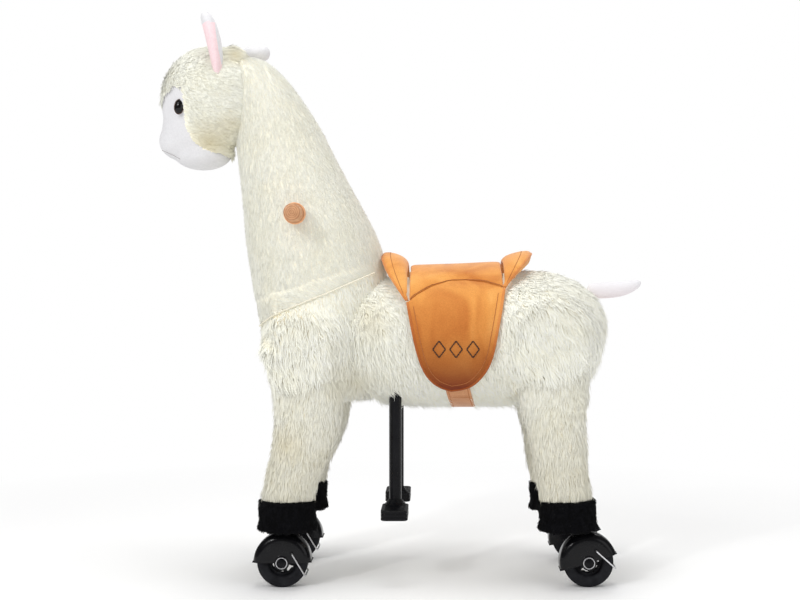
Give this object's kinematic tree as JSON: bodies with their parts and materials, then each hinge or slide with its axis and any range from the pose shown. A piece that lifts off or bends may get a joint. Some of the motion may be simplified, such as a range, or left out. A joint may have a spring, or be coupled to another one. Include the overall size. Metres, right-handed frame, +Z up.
{
  "type": "walking ride-on plush alpaca",
  "caption": "Child's walking ride-on: a long-pile plush alpaca with a suede saddle on a steel frame, with wooden handles, footrests, legs that spread and close, and wheels under hoods.",
  "frame": {"origin": "on the floor, below the middle of the object's box", "axes": "+Z up, the animal faces -X and its left side is -Y"},
  "size_m": [0.64, 0.27, 0.7359],
  "materials": {
    "cream_plush": "long cream pile",
    "white_plush": "short white pile",
    "black_plush": "short black pile",
    "saddle_suede": "tan velour with piping",
    "handle_wood": "satin beech",
    "saddle_board": "bare plywood",
    "black_steel": "black powder coat",
    "plated_wire": "zinc plated",
    "gloss_black": "gloss black",
    "black_tyre": "matt black tread",
    "eye_gloss": "polished"
  },
  "bodies": {
    "frame": {"spine_frame": "black_steel", "saddle_board": "saddle_board", "pedal_guide": "black_steel", "body_plush": "cream_plush", "tail": "white_plush", "saddle_seat": "saddle_suede", "saddle_pommel": "saddle_suede", "saddle_cantle": "saddle_suede", "saddle_skirt_left": "saddle_suede", "saddle_skirt_right": "saddle_suede", "girth_strap": "saddle_suede"},
    "steering": {"steering_column": "black_steel", "neck_plush": "cream_plush", "chest_plush": "cream_plush", "head_plush": "cream_plush", "face_plush": "white_plush", "ear_left": "white_plush", "ear_right": "white_plush", "eye_left": "eye_gloss", "eye_right": "eye_gloss", "handlebar": "handle_wood"},
    "front_legs": {"front_cross_tube": "black_steel", "leg_tube_front_left": "black_steel", "leg_plush_front_left": "cream_plush", "hoof_cuff_front_left": "black_plush", "hood_front_left": "gloss_black", "axle_bolt_front_left": "plated_wire", "leg_tube_front_right": "black_steel", "leg_plush_front_right": "cream_plush", "hoof_cuff_front_right": "black_plush", "hood_front_right": "gloss_black", "axle_bolt_front_right": "plated_wire"},
    "rear_legs": {"rear_cross_tube": "black_steel", "leg_tube_rear_left": "black_steel", "leg_plush_rear_left": "cream_plush", "hoof_cuff_rear_left": "black_plush", "hood_rear_left": "gloss_black", "axle_bolt_rear_left": "plated_wire", "leg_tube_rear_right": "black_steel", "leg_plush_rear_right": "cream_plush", "hoof_cuff_rear_right": "black_plush", "hood_rear_right": "gloss_black", "axle_bolt_rear_right": "plated_wire"},
    "pedals": {"pedal_crossbar": "black_steel", "pedal_post_left": "black_steel", "pedal_post_right": "black_steel", "footrest_left": "gloss_black", "footrest_right": "gloss_black"},
    "front_link": {"front_link_bar": "black_steel"},
    "rear_link": {"rear_link_bar": "black_steel"},
    "wheel_spin_front_left": {"wheel_front_left": "black_tyre"},
    "wheel_spin_front_right": {"wheel_front_right": "black_tyre"},
    "wheel_spin_rear_left": {"wheel_rear_left": "black_tyre"},
    "wheel_spin_rear_right": {"wheel_rear_right": "black_tyre"},
    "bail_swing_front_left": {"wire_bail_front_left": "plated_wire"},
    "bail_swing_front_right": {"wire_bail_front_right": "plated_wire"},
    "bail_swing_rear_left": {"wire_bail_rear_left": "plated_wire"},
    "bail_swing_rear_right": {"wire_bail_rear_right": "plated_wire"}
  },
  "joints": [
    {"name": "steering", "type": "hinge", "parent": "frame", "child": "steering", "pos_m": [-0.1297, 0, 0.3015], "axis": [0, 0, 1], "range_deg": [-15, 15]},
    {"name": "rear_leg_swing", "type": "hinge", "parent": "frame", "child": "rear_legs", "pos_m": [0.1848, 0, 0.315], "axis": [0, 1, 0], "range_deg": [0, 12]},
    {"name": "front_leg_swing", "type": "hinge", "parent": "steering", "child": "front_legs", "pos_m": [-0.1297, 0, 0.3015], "axis": [0, -1, 0], "range_deg": [0, 12]},
    {"name": "pedal_slide", "type": "slide", "parent": "frame", "child": "pedals", "axis": [0, 0, -1], "range_m": [0, 0.0201]},
    {"name": "front_link_swing", "type": "hinge", "parent": "pedals", "child": "front_link", "pos_m": [-0.005, 0, 0.243], "axis": [0, 1, 0], "range_deg": [0, 9.3]},
    {"name": "rear_link_swing", "type": "hinge", "parent": "pedals", "child": "rear_link", "pos_m": [-0.005, 0, 0.243], "axis": [0, -1, 0], "range_deg": [0, 6.8]},
    {"name": "wheel_front_left_spin", "type": "hinge", "parent": "front_legs", "child": "wheel_spin_front_left", "pos_m": [-0.1464, -0.082, 0.032], "axis": [0, 1, 0], "continuous": true},
    {"name": "wheel_front_right_spin", "type": "hinge", "parent": "front_legs", "child": "wheel_spin_front_right", "pos_m": [-0.1464, 0.082, 0.032], "axis": [0, 1, 0], "continuous": true},
    {"name": "wheel_rear_left_spin", "type": "hinge", "parent": "rear_legs", "child": "wheel_spin_rear_left", "pos_m": [0.2396, -0.082, 0.032], "axis": [0, 1, 0], "continuous": true},
    {"name": "wheel_rear_right_spin", "type": "hinge", "parent": "rear_legs", "child": "wheel_spin_rear_right", "pos_m": [0.2396, 0.082, 0.032], "axis": [0, 1, 0], "continuous": true},
    {"name": "wire_bail_front_left_swing", "type": "hinge", "parent": "front_legs", "child": "bail_swing_front_left", "pos_m": [-0.1333, -0.082, 0.0438], "axis": [0, -1, 0], "range_deg": [0, 10]},
    {"name": "wire_bail_front_right_swing", "type": "hinge", "parent": "front_legs", "child": "bail_swing_front_right", "pos_m": [-0.1333, 0.082, 0.0438], "axis": [0, -1, 0], "range_deg": [0, 10]},
    {"name": "wire_bail_rear_left_swing", "type": "hinge", "parent": "rear_legs", "child": "bail_swing_rear_left", "pos_m": [0.24868, -0.082, 0.04711], "axis": [0, -1, 0], "range_deg": [0, 10]},
    {"name": "wire_bail_rear_right_swing", "type": "hinge", "parent": "rear_legs", "child": "bail_swing_rear_right", "pos_m": [0.24868, 0.082, 0.04711], "axis": [0, -1, 0], "range_deg": [0, 10]}
  ],
  "couplings": [
    {"joint": "front_leg_swing", "follows": "rear_leg_swing", "ratio": 1},
    {"joint": "pedal_slide", "follows": "rear_leg_swing", "m_per_rad": 0.0955},
    {"joint": "front_link_swing", "follows": "rear_leg_swing", "ratio": 0.773},
    {"joint": "rear_link_swing", "follows": "rear_leg_swing", "ratio": 0.559}
  ]
}
